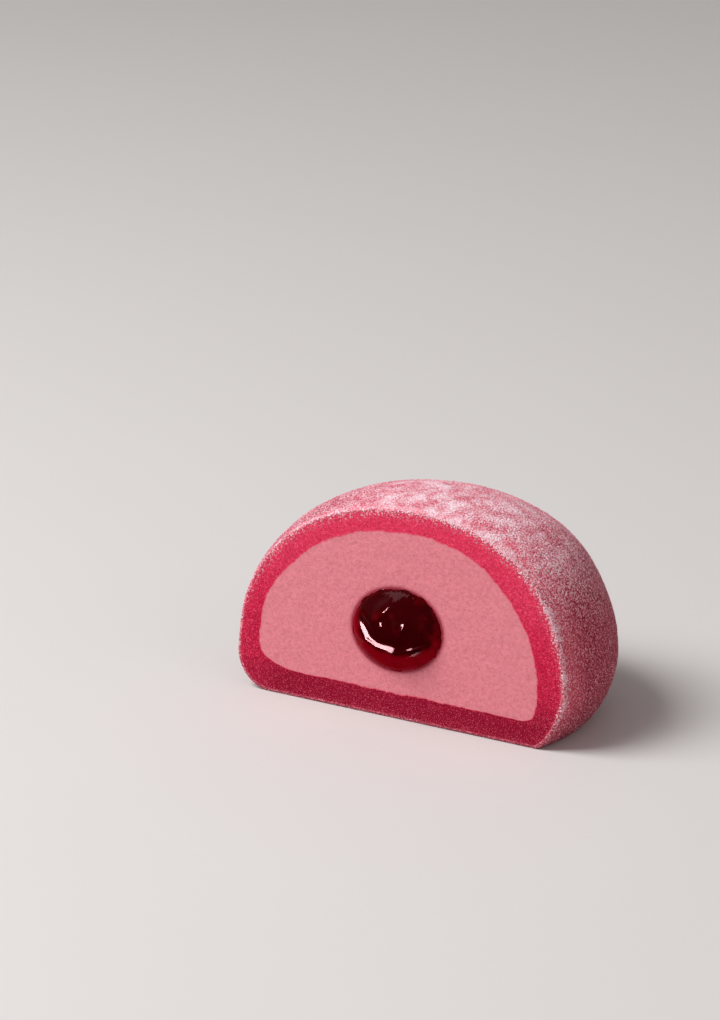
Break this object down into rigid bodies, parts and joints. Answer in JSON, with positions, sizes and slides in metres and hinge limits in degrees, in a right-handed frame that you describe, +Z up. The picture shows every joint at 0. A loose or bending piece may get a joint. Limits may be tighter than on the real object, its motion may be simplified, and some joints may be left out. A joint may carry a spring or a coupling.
{
  "type": "cut mochi rice cake",
  "caption": "Soft rice cake cut open with a knife, showing its rice skin, whipped cream filling and glossy jam core; rests on a flat base.",
  "frame": {"origin": "on the floor, below the middle of the bounding box of the cut piece with its jam bulge", "axes": "+X along the cut face to the right as seen from the front, +Y from the cut face into the cake, +Z up"},
  "size_m": [0.0581, 0.0359, 0.0338],
  "materials": {
    "dusted_dough": "pink rice dough with a thin coat of starch, crimson where it is cut",
    "whipped_cream": "matt pink whipped filling with fine pores",
    "jam": "wet, glossy dark red jam"
  },
  "bodies": {
    "root": {"rice_skin": "dusted_dough", "cream_filling": "whipped_cream", "jam_core": "jam"}
  },
  "joints": []
}
